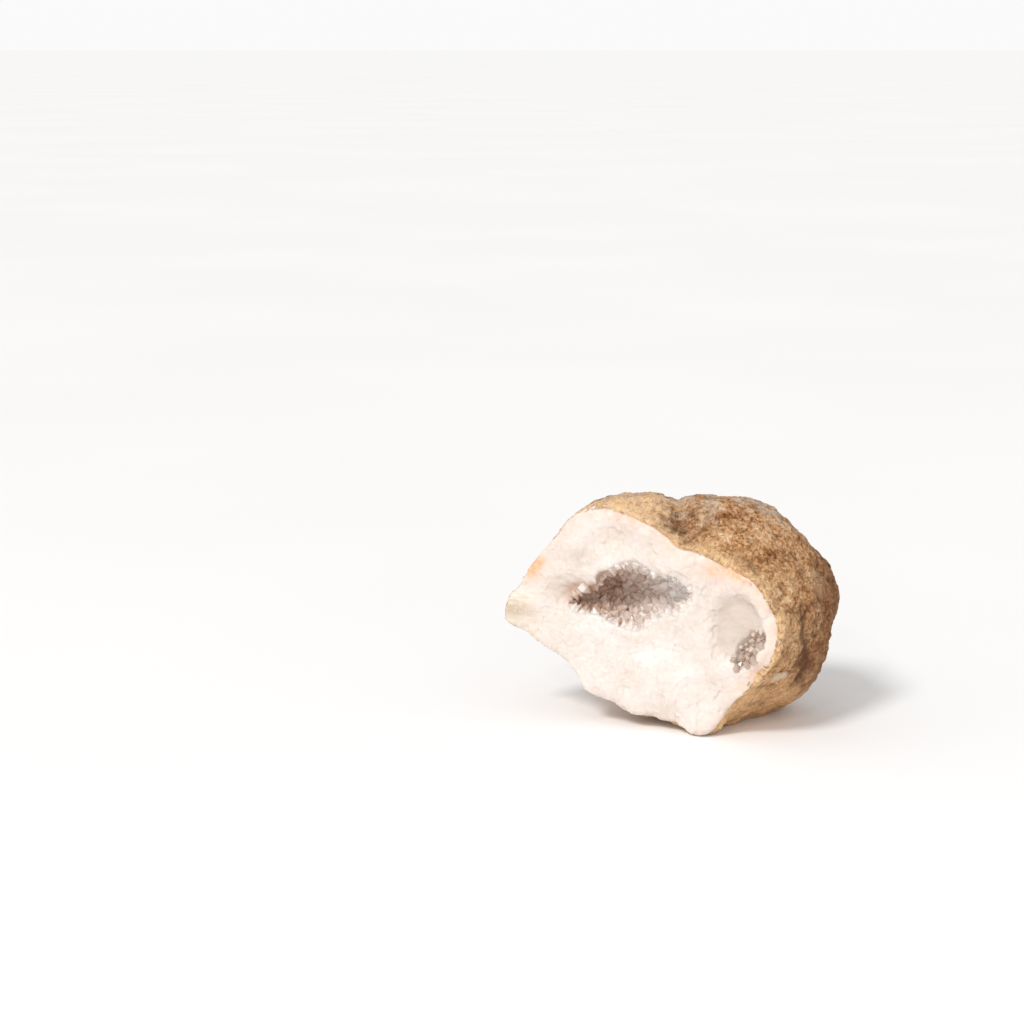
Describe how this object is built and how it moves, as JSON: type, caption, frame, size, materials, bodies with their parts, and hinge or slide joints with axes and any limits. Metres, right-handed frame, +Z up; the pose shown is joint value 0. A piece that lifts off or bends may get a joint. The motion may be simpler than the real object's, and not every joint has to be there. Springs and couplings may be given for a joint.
{
  "type": "geode half",
  "caption": "Broken half of a quartz geode: rough brown rind, thick white quartz wall and crystal-lined pockets in the fracture face; rests on its flat underside.",
  "frame": {"origin": "middle of the bounding box's underside, in the plane of the flat base that the half rests on", "axes": "+X along the length, from the pointed tip to the blunt end; +Y from the fracture face to the rounded back; +Z up"},
  "size_m": [0.1, 0.0618, 0.0693],
  "materials": {
    "rind": "rough, grainy brown weathered skin with tan and grey patches",
    "quartz": "milky white, sugary broken quartz, slightly waxy",
    "main_crystals": "small glassy quartz crystals, translucent and faintly smoky",
    "side_crystals": "small glassy quartz crystals, pale and translucent"
  },
  "bodies": {
    "root": {"rind": "rind", "quartz_wall": "quartz", "main_pocket_crystals": "main_crystals", "side_pocket_crystals": "side_crystals"}
  },
  "joints": []
}
